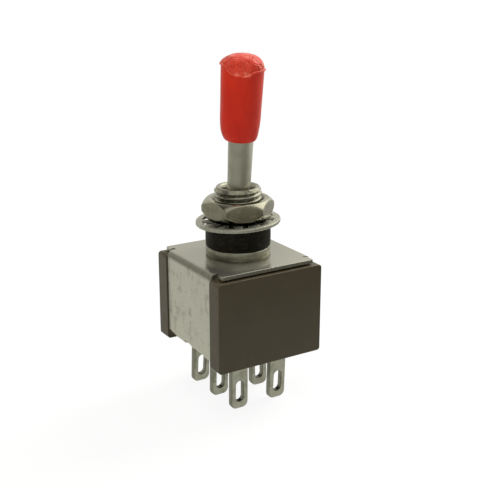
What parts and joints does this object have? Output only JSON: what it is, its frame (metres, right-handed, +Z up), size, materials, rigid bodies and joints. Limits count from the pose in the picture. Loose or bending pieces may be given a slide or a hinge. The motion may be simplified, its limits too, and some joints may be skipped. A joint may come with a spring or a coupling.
{
  "type": "panel toggle switch",
  "caption": "Miniature two-pole toggle switch with a threaded bushing, hexagon nut, lock washer, solder lugs and a soft cap on its lever.",
  "frame": {"origin": "on the bushing's axis, level with the tips of the solder lugs", "axes": "+Z up the bushing's axis; the lever swings along Y and leans towards -Y at rest; the two poles stand side by side along X"},
  "size_m": [0.0148, 0.0156, 0.044],
  "materials": {
    "phenolic": "moulded phenolic, dull brown with a slight sheen",
    "frame_steel": "stamped sheet steel, bright plated on top and matte on the legs",
    "nickel": "nickel-plated brass, turned and polished",
    "seal_rubber": "black rubber, matte",
    "washer_steel": "nickel-plated spring steel, bright",
    "cap_vinyl": "soft red vinyl, satin",
    "nylon": "natural nylon",
    "plunger_metal": "plain brass, turned",
    "spring_steel": "music wire",
    "contact_metal": "silver-plated copper alloy",
    "tinned_metal": "tinned brass"
  },
  "bodies": {
    "base": {"case": "phenolic", "steel_frame": "frame_steel", "bushing": "nickel", "sealing_ring": "seal_rubber", "lock_washer": "washer_steel", "hex_nut": "nickel", "terminal_front_left": "tinned_metal", "terminal_middle_left": "tinned_metal", "terminal_rear_left": "tinned_metal", "terminal_front_right": "tinned_metal", "terminal_middle_right": "tinned_metal", "terminal_rear_right": "tinned_metal"},
    "lever": {"lever": "nickel", "pivot_pin": "spring_steel", "lever_cap": "cap_vinyl", "actuator_block": "nylon", "plunger_spring_left": "spring_steel", "plunger_spring_right": "spring_steel"},
    "plunger_left": {"plunger_left": "plunger_metal"},
    "plunger_right": {"plunger_right": "plunger_metal"},
    "rocker_left": {"rocker_left": "contact_metal"},
    "rocker_right": {"rocker_right": "contact_metal"}
  },
  "joints": [
    {"name": "lever_tilt", "type": "hinge", "parent": "base", "child": "lever", "pos_m": [0, 0, 0.0245], "axis": [1, 0, 0], "range_deg": [-16.5, 7.5]},
    {"name": "plunger_left_slide", "type": "slide", "parent": "lever", "child": "plunger_left", "axis": [0, -0.0785, 0.9969], "range_m": [0, 0.0005], "stiffness_N_per_m": 400, "springref_m": -0.0005, "deforming": ["plunger_spring_left"]},
    {"name": "plunger_right_slide", "type": "slide", "parent": "lever", "child": "plunger_right", "axis": [0, -0.0785, 0.9969], "range_m": [0, 0.0005], "stiffness_N_per_m": 400, "springref_m": -0.0005, "deforming": ["plunger_spring_right"]},
    {"name": "rocker_left_turn", "type": "hinge", "parent": "base", "child": "rocker_left", "pos_m": [-0.0029, 0, 0.011], "axis": [1, 0, 0], "range_deg": [-4.55, 9.95]},
    {"name": "rocker_right_turn", "type": "hinge", "parent": "base", "child": "rocker_right", "pos_m": [0.0029, 0, 0.011], "axis": [1, 0, 0], "range_deg": [-4.55, 9.95]}
  ],
  "couplings": [
    {"joint": "rocker_left_turn", "follows": "lever_tilt", "ratio": -0.6},
    {"joint": "rocker_right_turn", "follows": "lever_tilt", "ratio": -0.6}
  ]
}
